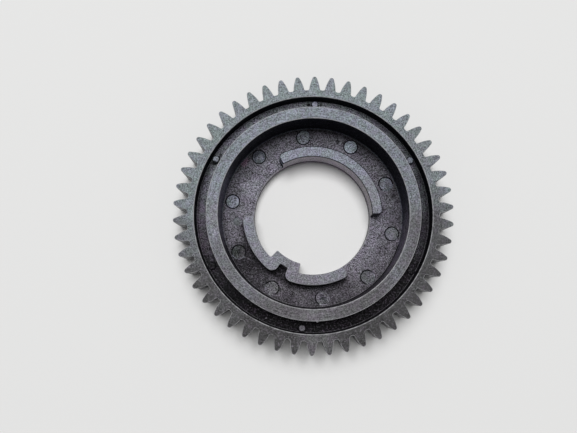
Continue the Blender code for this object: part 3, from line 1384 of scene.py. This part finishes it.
@effect(Radius=17.5, Height=3.0, Width=1.0, Elsewhere=1.0, At_Top=1.0)
def corner_grime(nodes: Nodes, given: Sockets) -> Sockets:
    """Mask of painted shade round a circular corner of the moulding, stronger towards the top, where the
    walls' shadow falls.

    Args:
        nodes: The group's tree.
        given: The group's inputs.

    Returns:
        The Mask.
    """
    place = given["Place"]
    _, y, z, reach = nodes.round_axis(place)
    across = nodes.maths("SUBTRACT", reach, given["Radius"])
    upward = nodes.maths("POWER", nodes.maths("SUBTRACT", z, given["Height"]), 2.0)
    gap = nodes.maths("SQRT", nodes.maths("MULTIPLY_ADD", across, across, upward))
    gap = nodes.maths("DIVIDE", gap, nodes.ragged(place, 1.1, 3.0, 1.2, 0.4))
    sine = nodes.maths("DIVIDE", y, reach)
    # Painted shade: the share goes from Elsewhere to At Top towards the top of the gear, where the walls
    # cast their shadow.
    share = nodes.between(sine, 0.4, 0.95, given["Elsewhere"], given["At Top"])
    return {"Mask": nodes.product(nodes.fading(gap, 0.0, given["Width"]), share)}


@effect(Radius=13.2, Width=1.0, Cosine=-0.5, Upper_Share=0.3)
def arc_grime(nodes: Nodes, given: Sockets) -> Sockets:
    """Mask of painted shade round the feet of the two collar arcs, which lie opposite each other,
    strongest by the lower one.

    Args:
        nodes: The group's tree.
        given: The group's inputs. Cosine is that of the angle between an arc's ends.

    Returns:
        The Mask.
    """
    place, twice_key = given["Place"], 2.0 * KeyedCollar.key_angle
    x, y, _, reach = nodes.round_axis(place)
    x_square, y_square = nodes.product(x, x), nodes.product(y, y)
    along = nodes.product(nodes.maths("SUBTRACT", x_square, y_square), math.cos(twice_key))
    across = nodes.product(x, y, 2.0 * math.sin(twice_key))
    square = nodes.maths("ADD", x_square, y_square)
    twice = nodes.maths("DIVIDE", nodes.maths("ADD", along, across), square)
    beside = nodes.between(nodes.maths("SUBTRACT", twice, given["Cosine"]), -0.06, 0.10)
    away = nodes.maths("SUBTRACT", reach, given["Radius"])
    away = nodes.maths("DIVIDE", away, nodes.ragged(place, 1.1, 3.0, 1.2, 0.4))
    # Painted shade lies mostly beside the lower arc; beside the upper one only Upper Share of it.
    lower = nodes.between(y, -2.0, 5.0, 1.0, given["Upper Share"])
    return {"Mask": nodes.product(nodes.fading(away, 0.0, given["Width"]), beside, lower)}


@effect(Amount=0.3)
def dust_specks(nodes: Nodes, given: Sockets) -> Sockets:
    """Mask of pale specks of dust that lie on upward faces.

    Args:
        nodes: The group's tree.
        given: The group's inputs.

    Returns:
        The Mask.
    """
    place = given["Place"]
    cells = nodes.add("TexVoronoi", Vector=place, Scale=1.7, Randomness=1.0)
    speck = nodes.fading(cells.outputs["Distance"], 0.03, 0.09)
    chosen = nodes.between(nodes.noise(place, 0.8), 0.52, 0.6)
    up = nodes.between(nodes.upward(), 0.6, 0.95)
    return {"Mask": nodes.product(speck, chosen, up, given["Amount"])}


@effect(Inner=12.0, Outer=15.0)
def rubbed_ring(nodes: Nodes, given: Sockets) -> Sockets:
    """Mask of painted light on the web near the bore, which is lighter than the web's outer part in the
    shade of the ring's wall.

    Args:
        nodes: The group's tree.
        given: The group's inputs.

    Returns:
        The Mask.
    """
    _, _, _, reach = nodes.round_axis(given["Place"])
    uneven = nodes.ragged(given["Place"], 0.35, 3.0, 2.4, -1.2)
    return {"Mask": nodes.fading(nodes.maths("ADD", reach, uneven), given["Inner"], given["Outer"])}


@effect(Amount=0.5)
def soot_specks(nodes: Nodes, given: Sockets) -> Sockets:
    """Mask of dark specks of toner and grease, thicker in some places than in others.

    Args:
        nodes: The group's tree.
        given: The group's inputs.

    Returns:
        The Mask.
    """
    speck = nodes.between(nodes.noise(given["Place"], 2.6, 2.0, 0.7), 0.50, 0.60)
    thick = nodes.between(nodes.noise(given["Place"], 0.32), 0.36, 0.62, 0.25, 1.0)
    return {"Mask": nodes.product(speck, thick, given["Amount"])}


@effect(Middle=None, Radius=1.0, Amount=1.0)
def ragged_spot(nodes: Nodes, given: Sockets) -> Sockets:
    """Mask of one ragged round spot.

    Args:
        nodes: The group's tree.
        given: The group's inputs.

    Returns:
        The Mask.
    """
    gap = nodes.add("VectorMath", given["Place"], given["Middle"])
    gap.operation = "DISTANCE"
    radius = nodes.product(given["Radius"], nodes.ragged(given["Place"], 1.8, 2.0, 1.4, 0.3))
    share = nodes.maths("DIVIDE", gap.outputs["Value"], radius)
    return {"Mask": nodes.product(nodes.fading(share, 0.55, 1.1), given["Amount"])}


# TONER_AND_SHADE, GREASE_AND_SHADE and GRIT_AND_SHADE colour dirt, and also the painted shade in corners,
# beside the arcs and in dark spots.
TONER_AND_SHADE: Colour = (0.012, 0.011, 0.013)
GREASE_AND_SHADE: Colour = (0.003, 0.0028, 0.0034)
GRIT_AND_SHADE: Colour = (0.055, 0.050, 0.058)
# WORN_AND_HIGHLIGHT colours worn edges and, partly, a painted highlight on them.
WORN_AND_HIGHLIGHT: Colour = (0.45, 0.45, 0.47)
DUST: Colour = (0.42, 0.42, 0.42)
REDDER: Colour = (1.05, 0.96, 1.07)
GREENER: Colour = (0.95, 1.04, 0.94)
DARK_SPOT_BELOW = 0.05


@dataclass(frozen=True)
class Spot:
    """A darker or paler patch on the moulding, its place and radius in millimetres. Some are dirt and
    scuffs, and some are painted light and painted shade.
    """

    place: tuple[float, float, float]
    radius: float
    amount: float
    colour: Colour = TONER_AND_SHADE
    broken: float = 0.0

    @property
    def is_dirt(self) -> bool:
        """Whether it is dark enough to be made matt, as dry dirt and painted shade are."""
        return max(self.colour) < DARK_SPOT_BELOW


class Coat:
    """Colour of a finish as more is laid over it, and the mask of where grime, grease and painted shade
    make it matt.
    """

    def __init__(self, nodes: Nodes, colour: Socket) -> None:
        """Starts with the clean colour.

        Args:
            nodes: The material's tree.
            colour: The clean colour.
        """
        self.nodes = nodes
        self.colour = colour
        self.grime: Socket | None = None

    def cover(self, mask: Socket, colour: object, dry: float = 0.0) -> None:
        """Lays another colour over the coat.

        Args:
            mask: Where it lies.
            colour: The colour on top.
            dry: Share of it that makes the surface as matt as dry grime, which painted shade is made too.
        """
        self.colour = self.nodes.mixed(mask, self.colour, colour)
        if dry:
            matt = mask if dry == 1.0 else self.nodes.product(mask, dry)
            self.grime = self.nodes.maths("MAXIMUM", self.grime, matt) if self.grime else matt


@dataclass(frozen=True)
class MouldedPlastic:
    """Finish of one zone of the dark grey moulding."""

    name: str
    colour: Colour = (0.075, 0.075, 0.080)
    # cool is the tint towards the top of the gear, a painted sheen; warm is the tint towards the bottom.
    cool: Colour = (0.93, 1.08, 1.24)
    warm: Colour = (1.02, 0.98, 1.05)
    cloud: float = 0.35
    patch: float = 0.30
    speckle: float = 5.4
    streak: float = 0.2
    blotch: float = 1.0
    roughness: float = 0.44
    roughness_drift: float = 0.10
    grime_roughness: float = 0.95
    wear_polish: float = 0.12
    gloss: float = 0.5
    waves: float = 0.05
    grain: float = 0.07
    turning: float = 0.0
    edge: float = 0.6
    dust: float = 0.25
    soot: float = 0.0
    # grease darkens the finish towards the bottom of the gear: painted shade, partly grease.
    grease: float = 0.0
    grease_matt: float = 0.2
    # grime: strength of the painted shade round corners and beside the arcs.
    grime: float = 0.0
    spot_matt: float = 0.8
    # inner_glow: how much lighter the painted light makes the web near the bore, fading from glow_inner to
    # glow_outer.
    inner_glow: float = 0.0
    glow_inner: float = 12.2
    glow_outer: float = 15.5
    # beside_arcs: width of the painted shade beside the arcs' feet.
    beside_arcs: float = 0.0
    # corners: painted shade round circular corners, each (radius, height, width, elsewhere, at top).
    corners: tuple[tuple[float, float, float, float, float], ...] = ()
    spots: tuple[Spot, ...] = ()

    def material(self) -> bpy.types.Material:
        """The finish as a material.

        Returns:
            A material of procedural nodes in the object's own coordinates.
        """
        made = bpy.data.materials.new(self.name)
        made.use_nodes = True
        made.diffuse_color = (*self.colour, 1.0)
        nodes = Nodes(made.node_tree)
        shader = made.node_tree.nodes["Principled BSDF"]
        shader.inputs["Specular IOR Level"].default_value = self.gloss
        own = nodes.add("TexCoord").outputs["Object"]
        place = nodes.add("Mapping", Vector=own, Scale=(1.0 / MM,) * 3).outputs["Vector"]
        mottle = plastic_mottle.place(
            nodes, place, Cloud=self.cloud, Patch=self.patch, Speckle=self.speckle, Streak=self.streak
        )
        # Painted sheen: the tint turns cooler, and on the rim lighter, towards the top of the gear.
        tint = nodes.mixed(mottle["Drift"], self.warm, self.cool)
        tint = nodes.tinted(tint, nodes.mixed(mottle["Blotch"], REDDER, GREENER), self.blotch)
        toned = nodes.add("VectorMath", tint)
        toned.operation = "SCALE"
        nodes.feed(toned.inputs["Scale"], mottle["Tone"])
        toned = toned.outputs["Vector"]
        coat = Coat(nodes, nodes.tinted(self.colour, toned))
        self.soil(coat, place, toned, mottle)
        # Pale rounded edges: wear, partly a painted highlight.
        wear_and_highlight = edge_wear.mask(nodes, place, Amount=self.edge)
        coat.cover(wear_and_highlight, WORN_AND_HIGHLIGHT)
        coat.cover(dust_specks.mask(nodes, place, Amount=self.dust), DUST)
        drift = nodes.maths("SUBTRACT", mottle["Tone"], 1.0)
        matt = nodes.maths("MULTIPLY_ADD", drift, -self.roughness_drift, self.roughness)
        if coat.grime:
            matt = nodes.maths("MULTIPLY_ADD", coat.grime, self.grime_roughness - self.roughness, matt)
        matt = nodes.maths("SUBTRACT", matt, nodes.product(wear_and_highlight, self.wear_polish))
        matt.node.use_clamp = True
        grain = mould_grain.place(
            nodes, place, Waves=self.waves, Grain=self.grain, Turning=self.turning
        )
        bump = nodes.add("Bump", Strength=1.0, Distance=MM, Height=grain["Height"])
        nodes.feed(shader.inputs["Base Color"], coat.colour)
        nodes.feed(shader.inputs["Roughness"], matt)
        nodes.feed(shader.inputs["Normal"], bump.outputs["Normal"])
        return made

    def soil(self, coat: Coat, place: Socket, toned: Socket, mottle: Sockets) -> None:
        """Lays soot, grease with painted shade towards the bottom, painted shade in corners and beside the
        arcs, painted light near the bore, and spots, some of them painted light and some painted shade,
        over a coat.

        Args:
            coat: The coat.
            place: Coordinates in millimetres.
            toned: The mottle's tone and tint, about 1.
            mottle: The mottle's outputs. Its Drift is low towards the bottom, where grease and painted
                shade lie.
        """
        nodes = coat.nodes
        dirt_and_shade = nodes.tinted(nodes.mixed(mottle["Grit"], GREASE_AND_SHADE, GRIT_AND_SHADE), toned)
        if self.soot:
            coat.cover(soot_specks.mask(nodes, place, Amount=self.soot), dirt_and_shade)
        # Darker towards the bottom of the gear, where Drift is low: painted shade, partly grease.
        if self.grease:
            low_grease_and_shade_mask = nodes.maths("MULTIPLY_ADD", mottle["Drift"], -self.grease, self.grease)
            coat.cover(low_grease_and_shade_mask, dirt_and_shade, self.grease_matt)
        # Painted shade round the corners, in the colour of the dirt and as matt as it.
        for radius, height, width, elsewhere, at_top in self.corners:
            mask = corner_grime.mask(
                nodes, place, Radius=radius, Height=height, Width=width, Elsewhere=elsewhere, At_Top=at_top
            )
            coat.cover(nodes.product(mask, self.grime), dirt_and_shade, 1.0)
        # Painted light: the web is lighter near the bore than in its shaded outer part.
        if self.inner_glow:
            open_lit = rubbed_ring.mask(nodes, place, Inner=self.glow_inner, Outer=self.glow_outer)
            coat.cover(open_lit, nodes.tinted(coat.colour, (1.0 + self.inner_glow,) * 3))
        # Painted shade beside the feet of the collar arcs.
        if self.beside_arcs:
            radius, cosine = KeyedCollar.bore_radius + KeyedCollar.wall, math.cos(KeyedCollar.span)
            mask = arc_grime.mask(nodes, place, Radius=radius, Width=self.beside_arcs, Cosine=cosine)
            coat.cover(nodes.product(mask, self.grime), dirt_and_shade, 1.0)
        for spot in self.spots:
            mask = ragged_spot.mask(
                nodes, place, Middle=spot.place, Radius=spot.radius, Amount=spot.amount
            )
            if spot.broken:
                mask = nodes.product(mask, nodes.maths("MULTIPLY_ADD", mottle["Grit"], -spot.broken, 1.0))
            coat.cover(mask, nodes.tinted(spot.colour, toned), self.spot_matt if spot.is_dirt else 0.0)


@dataclass
class GearFinishes:
    """The finish of each zone. The gear's sizes say where painted light, painted shade, grime and spots
    lie.
    """

    gear: RollerGear
    pale: Colour = (0.20, 0.20, 0.21)
    violet: Colour = (0.175, 0.15, 0.18)

    def by_zone(self) -> dict[Zone, MouldedPlastic]:
        """The finishes of the whole gear.

        Returns:
            One finish for each zone.
        """
        return {
            Zone.RIM: self.rim_face(),
            Zone.RING: self.ring_face(),
            Zone.COLLAR: self.collar_face(),
            Zone.WEB: self.web(),
            Zone.GROOVE: self.groove(),
            Zone.WALL: self.walls(),
            Zone.TOOTH: MouldedPlastic("plastic_teeth", speckle=3.0, roughness=0.42, grain=0.02),
            Zone.BORE: self.bore(),
            Zone.MARK: self.marks(),
            Zone.CREASE: self.creases(),
            # The lips are painted paler as a highlight.
            Zone.LIP: MouldedPlastic("plastic_lips", colour=(0.13, 0.13, 0.14), edge=0.0),
            Zone.FOOT: self.ring_foot(),
            Zone.BACK: MouldedPlastic("plastic_back", turning=0.006),
        }

    def rim_face(self) -> MouldedPlastic:
        """The toothed rim's face, greenish and lighter towards the top as a painted sheen, and darker
        below as painted shade, partly grease.

        Returns:
            The finish.
        """
        face = self.gear.rim.width
        return MouldedPlastic(
            "plastic_rim_face",
            colour=(0.100, 0.099, 0.106),
            cool=(1.16, 1.46, 1.54),
            speckle=3.8,
            roughness_drift=0.14,
            grease=1.0,
            turning=0.004,
            edge=1.0,
            spots=(
                Spot((0.5, -23.4, face), 4.0, 0.3, (0.15, 0.15, 0.155)),
                Spot((20.5, 11.8, face), 6.0, 0.6, (0.077, 0.067, 0.072)),
                Spot((-20.3, 11.9, face), 5.0, 0.3, (0.070, 0.068, 0.072)),
            ),
        )

    def ring_face(self) -> MouldedPlastic:
        """The raised ring's face, streaked by its neighbour.

        Returns:
            The finish.
        """
        face = self.gear.web.ring_top
        return MouldedPlastic(
            "plastic_ring_face",
            colour=(0.130, 0.127, 0.138),
            cool=(0.92, 1.10, 1.26),
            speckle=3.7,
            streak=1.2,
            grease=0.7,
            turning=0.010,
            edge=0.9,
            spots=(
                Spot((-18.6, 0.0, face), 5.0, 0.6, (0.165, 0.155, 0.165)),
                Spot((0.0, -18.6, face), 4.0, 0.3, (0.150, 0.145, 0.155)),
            ),
        )

    def collar_face(self) -> MouldedPlastic:
        """The tops of the collar arcs and of the tall pins.

        Returns:
            The finish.
        """
        pin_top = self.gear.web.groove_floor + max(self.gear.pins.rises)
        return MouldedPlastic(
            "plastic_collar_face",
            colour=(0.138, 0.133, 0.153),
            speckle=3.6,
            grease=0.2,
            turning=0.004,
            spots=(
                # Painted shadow on the lower left of a tall pin's top.
                Spot((-18.45, 10.15, pin_top), 0.35, 1.0),
                Spot((18.4, 10.2, pin_top), 1.2, 0.2),
                Spot((-2.2, -20.9, pin_top), 1.2, 0.2),
            ),
        )

    def web(self) -> MouldedPlastic:
        """The web's floor, sooty, with painted shade round the ring's and the arcs' feet and painted light
        near the bore.

        Returns:
            The finish.
        """
        floor, ring = self.gear.web.web_floor, self.gear.web.ring_inner
        return MouldedPlastic(
            "plastic_web",
            colour=(0.090, 0.085, 0.096),
            cool=(1.14, 1.15, 1.28),
            cloud=1.2,
            patch=1.5,
            speckle=5.8,
            blotch=0.5,
            roughness=0.55,
            gloss=0.3,
            waves=0.10,
            grain=0.10,
            turning=0.006,
            soot=0.85,
            streak=0.5,
            grime=0.9,
            inner_glow=0.5,
            beside_arcs=1.6,
            # Painted shade round the ring's foot: a wide band at the top of the gear, where its wall casts
            # a shadow, and a narrow one all round.
            corners=((ring, floor, 1.6, 0.0, 0.9), (ring, floor, 0.9, 0.45, 0.9)),
            spots=(
                Spot((5.2, 14.8, floor), 0.5, 0.9),
                Spot((5.6, 14.5, floor), 0.25, 1.0, self.pale),
                Spot((6.5, 14.4, floor), 0.45, 0.9),
                Spot((15.8, 4.0, floor), 0.5, 0.8),
                Spot((16.5, 3.0, floor), 0.4, 0.8),
                Spot((14.2, -6.2, floor), 0.4, 0.7),
                # Painted light: the web lighter at its left.
                Spot((-11.8, 5.6, floor), 2.2, 0.35, self.pale),
                # Painted shadow outside the keyed arc.
                Spot((-11.2, -11.4, floor), 3.6, 0.75, broken=0.8),
                Spot((-12.8, -7.8, floor), 3.6, 0.95, broken=0.7),
                Spot((-13.4, 11.0, floor), 1.3, 0.6, (0.11, 0.055, 0.085)),
                # The next two spots are painted shadow of the ring's wall near its foot.
                Spot((-1.0, 16.6, floor), 2.2, 0.3),
                Spot((9.5, 13.5, floor), 2.4, 0.5, broken=0.8),
                # Painted shade near the ring's foot.
                Spot((-4.5, -15.8, floor), 1.8, 0.4),
                Spot((5.0, -15.0, floor), 4.0, 0.5, broken=0.8),
                Spot((0.0, -16.3, floor), 2.4, 0.5, broken=0.8),
                # The last two spots are painted shade near the ring's foot.
                Spot((16.0, 0.0, floor), 2.4, 0.35),
                Spot((14.8, 4.5, floor), 2.2, 0.3),
            ),
        )

    def groove(self) -> MouldedPlastic:
        """The groove's floor, with painted light above, painted shade with grease below, and dark round
        its pins, where some spots are painted shadows of the pins.

        Returns:
            The finish.
        """
        floor = self.gear.web.groove_floor
        return MouldedPlastic(
            "plastic_groove",
            colour=(0.118, 0.115, 0.128),
            cool=(1.0, 1.06, 1.12),
            cloud=1.2,
            patch=1.5,
            roughness=0.6,
            gloss=0.12,
            grain=0.09,
            soot=0.9,
            grime=0.9,
            grease=1.15,
            # Painted shade along the foot of the rim's wall, weaker at the top of the gear.
            corners=((self.gear.rim.inner_radius, floor, 1.3, 1.0, 0.25),),
            spots=(
                # The next two spots are painted light: pale at the top of the groove and at its upper
                # left.
                Spot((1.0, 21.6, floor), 9.0, 0.55, (0.19, 0.19, 0.20)),
                Spot((-17.3, 12.6, floor), 3.0, 0.5, (0.17, 0.17, 0.18)),
                Spot((16.5, 13.5, floor), 8.0, 0.6, (0.052, 0.050, 0.056)),
                Spot((20.4, 5.4, floor), 3.4, 0.7, broken=0.4),
                Spot((-21.0, -2.5, floor), 5.0, 0.7, (0.064, 0.051, 0.064)),
                Spot((-15.2, -15.2, floor), 3.5, 0.6, (0.004, 0.004, 0.005)),
                Spot((20.8, -1.5, floor), 6.0, 0.65, broken=0.4),
                # The next three spots are painted shadows beside the pins.
                Spot((-0.55, 21.3, floor), 0.45, 1.0),
                Spot((1.7, 21.2, floor), 0.25, 0.9),
                Spot((-18.6, 10.1, floor), 0.6, 1.0),
                Spot((-17.4, 11.7, floor), 0.3, 0.9),
                Spot((-18.66, 11.42, floor), 0.3, 0.9),
                Spot((-17.57, 11.42, floor), 0.3, 0.9),
                Spot((-8.9, -19.2, floor), 0.18, 0.8, self.pale),
            ),
        )

    def walls(self) -> MouldedPlastic:
        """The ring's and the arcs' walls, painted black where the light doesn't reach them, with painted
        light on the ring's wall at left and right and on the upper arc's end.

        Returns:
            The finish.
        """
        ring, middle, arc_wall = self.gear.web.ring_inner, 7.0, 5.4
        return MouldedPlastic(
            "plastic_walls",
            colour=(0.042, 0.038, 0.045),
            roughness=0.6,
            gloss=0.1,
            patch=1.6,
            speckle=4.4,
            dust=0.1,
            spots=(
                # Painted shade: near-black at the top of the ring's wall.
                Spot((1.0, ring, middle), 22.0, 0.85, (0.008, 0.007, 0.010), broken=0.6),
                # The last three spots are painted light: the ring's wall lighter at left and right, and
                # the upper arc's end wall pale.
                Spot((-ring, 1.0, middle), 8.0, 0.7, self.violet),
                Spot((ring, -6.0, middle), 8.0, 0.6, self.violet),
                Spot((-6.0, 10.6, arc_wall), 1.7, 1.0, (0.32, 0.32, 0.33)),
            ),
        )

    def bore(self) -> MouldedPlastic:
        """The bore's wall, painted paler and pinker towards the top as bounce light.

        Returns:
            The finish.
        """
        top = self.gear.collar.bore_radius
        return MouldedPlastic(
            "plastic_bore",
            colour=(0.105, 0.092, 0.100),
            speckle=3.4,
            roughness=0.42,
            waves=0.03,
            grain=0.02,
            # Painted bounce light: pale pink on the upper part of the bore's wall.
            spots=(Spot((1.0, top, self.gear.web.web_floor), 15.0, 1.0, (0.31, 0.225, 0.25)),),
        )

    def marks(self) -> MouldedPlastic:
        """The ejector marks' discs, some of them paler than the web.

        Returns:
            The finish.
        """
        floor = self.gear.web.web_floor
        return MouldedPlastic(
            "plastic_marks",
            colour=(0.074, 0.072, 0.080),
            cloud=0.8,
            patch=1.4,
            gloss=0.35,
            waves=0.10,
            soot=0.4,
            edge=0.0,
            spots=(
                Spot((7.7, 13.7, floor), 3.2, 0.95, (0.23, 0.23, 0.24)),
                Spot((14.3, 6.4, floor), 2.4, 0.5, (0.13, 0.13, 0.145)),
                Spot((-15.4, 3.1, floor), 2.4, 0.7, (0.15, 0.15, 0.16)),
                Spot((-1.6, 15.6, floor), 2.0, 0.7, (0.13, 0.13, 0.14)),
                Spot((-10.3, 11.9, floor), 1.9, 0.4, (0.100, 0.098, 0.106)),
                Spot((-10.9, 12.4, floor), 0.8, 0.55, (0.030, 0.028, 0.033)),
                Spot((-9.7, 11.5, floor), 0.6, 0.6, (0.170, 0.160, 0.175)),
                Spot((10.5, -11.7, floor), 2.2, 0.5, (0.052, 0.050, 0.056)),
                Spot((-14.2, -6.6, floor), 2.2, 0.7, (0.022, 0.024, 0.018), broken=0.4),
            ),
        )

    def creases(self) -> MouldedPlastic:
        """Narrow corners, hollows and some walls, near-black: painted shade where the light doesn't reach,
        partly grease.

        Returns:
            The finish.
        """
        return MouldedPlastic(
            "plastic_creases", colour=(0.012, 0.0115, 0.013), roughness=0.7, gloss=0.05, edge=0.0, dust=0.0
        )

    def ring_foot(self) -> MouldedPlastic:
        """The fillet between the web and the ring, where the wall's shadow ends.

        Returns:
            The finish.
        """
        return MouldedPlastic(
            "plastic_ring_foot", colour=(0.080, 0.076, 0.086), roughness=0.6, gloss=0.2, soot=0.6, edge=0.0
        )


@dataclass
class Studio:
    """Floor, lamp, camera and surroundings. None of them is part of the gear."""

    camera_place: tuple[float, float, float] = (-4.707, -14.525, 143.03)
    camera_aim: tuple[float, float, float] = (-4.589, -0.526, 9.4)
    camera_roll: float = math.radians(0.4)
    lens: float = 45.36
    sensor: float = 36.0
    nearest: float = 0.01
    farthest: float = 20.0
    floor_size: float = 4000.0
    floor_colour: Colour = (0.78, 0.78, 0.775)
    floor_roughness: float = 0.9
    floor_gloss: float = 0.2
    lamp_direction: tuple[float, float, float] = (-0.02, 0.24, 1.0)
    lamp_distance: float = 1500.0
    lamp_size: float = 790.0
    lamp_power: float = 20.6
    fill_power: float = 0.16
    seen_power: float = 0.8

    def floor(self) -> bpy.types.Object:
        """Pale floor under the gear.

        Returns:
            The floor.
        """
        half = self.floor_size * MM / 2.0
        ways = ((-1.0, -1.0), (1.0, -1.0), (1.0, 1.0), (-1.0, 1.0))
        corners = np.array([(half * x, half * y, 0.0) for x, y in ways])
        made = new_object("floor", corners, [(0, 1, 2, 3)])
        material = bpy.data.materials.new("pale_floor")
        material.use_nodes = True
        shader = material.node_tree.nodes["Principled BSDF"]
        shader.inputs["Base Color"].default_value = (*self.floor_colour, 1.0)
        shader.inputs["Roughness"].default_value = self.floor_roughness
        shader.inputs["Specular IOR Level"].default_value = self.floor_gloss
        made.data.materials.append(material)
        return made

    def camera(self) -> None:
        """Puts the camera at the place that the photograph was taken from."""
        place, aim = Vector(self.camera_place) * MM, Vector(self.camera_aim) * MM
        ahead = (aim - place).normalized()
        right = ahead.cross(Vector((0.0, 1.0, 0.0))).normalized()
        up = right.cross(ahead)
        cosine, sine = math.cos(self.camera_roll), math.sin(self.camera_roll)
        tilted_right, tilted_up = right * cosine - up * sine, right * sine + up * cosine
        data = bpy.data.cameras.new("camera")
        data.lens, data.sensor_width = self.lens, self.sensor
        data.clip_start, data.clip_end = self.nearest, self.farthest
        made = bpy.data.objects.new("camera", data)
        turn = Matrix((tilted_right, tilted_up, -ahead)).transposed()
        made.matrix_world = Matrix.Translation(place) @ turn.to_4x4()
        bpy.context.scene.collection.objects.link(made)
        bpy.context.scene.camera = made

    def lamp(self) -> None:
        """Hangs a round soft lamp high over the gear."""
        data = bpy.data.lights.new("key", "AREA")
        data.shape = "DISK"
        data.size = self.lamp_size * MM
        data.energy = self.lamp_power
        made = bpy.data.objects.new("key", data)
        towards = Vector(self.lamp_direction).normalized()
        made.location = towards * self.lamp_distance * MM
        made.rotation_euler = towards.to_track_quat("Z", "Y").to_euler()
        bpy.context.scene.collection.objects.link(made)

    def world(self) -> None:
        """Surrounds the gear with an even pale light that fills the shadows a little."""
        world = bpy.data.worlds.new("surroundings")
        world.use_nodes = True
        nodes = Nodes(world.node_tree)
        background = world.node_tree.nodes["Background"]
        seen = nodes.add("LightPath").outputs["Is Camera Ray"]
        nodes.feed(background.inputs["Color"], (1.0, 1.0, 1.0))
        level = nodes.between(seen, 0.0, 1.0, self.fill_power, self.seen_power)
        nodes.feed(background.inputs["Strength"], level)
        bpy.context.scene.world = world

    def build(self) -> None:
        """Sets the whole studio up."""
        self.floor()
        self.camera()
        self.lamp()
        self.world()
        bpy.context.scene.view_settings.view_transform = "Standard"


def main() -> None:
    """Builds the gear and the studio, and logs the number of faces."""
    logging.basicConfig(level=logging.INFO, format="%(message)s")
    gear = RollerGear()
    piece = gear.build()
    finishes = GearFinishes(gear).by_zone()
    for zone in Zone:
        piece.data.materials.append(finishes[zone].material())
    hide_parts(NODE)
    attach(piece, BODY)
    logger.info("%s: %d faces", piece.name, len(piece.data.polygons))
    Studio().build()
    logger.info("studio: floor, lamp, camera and surroundings")


if __name__ == "__main__":
    main()
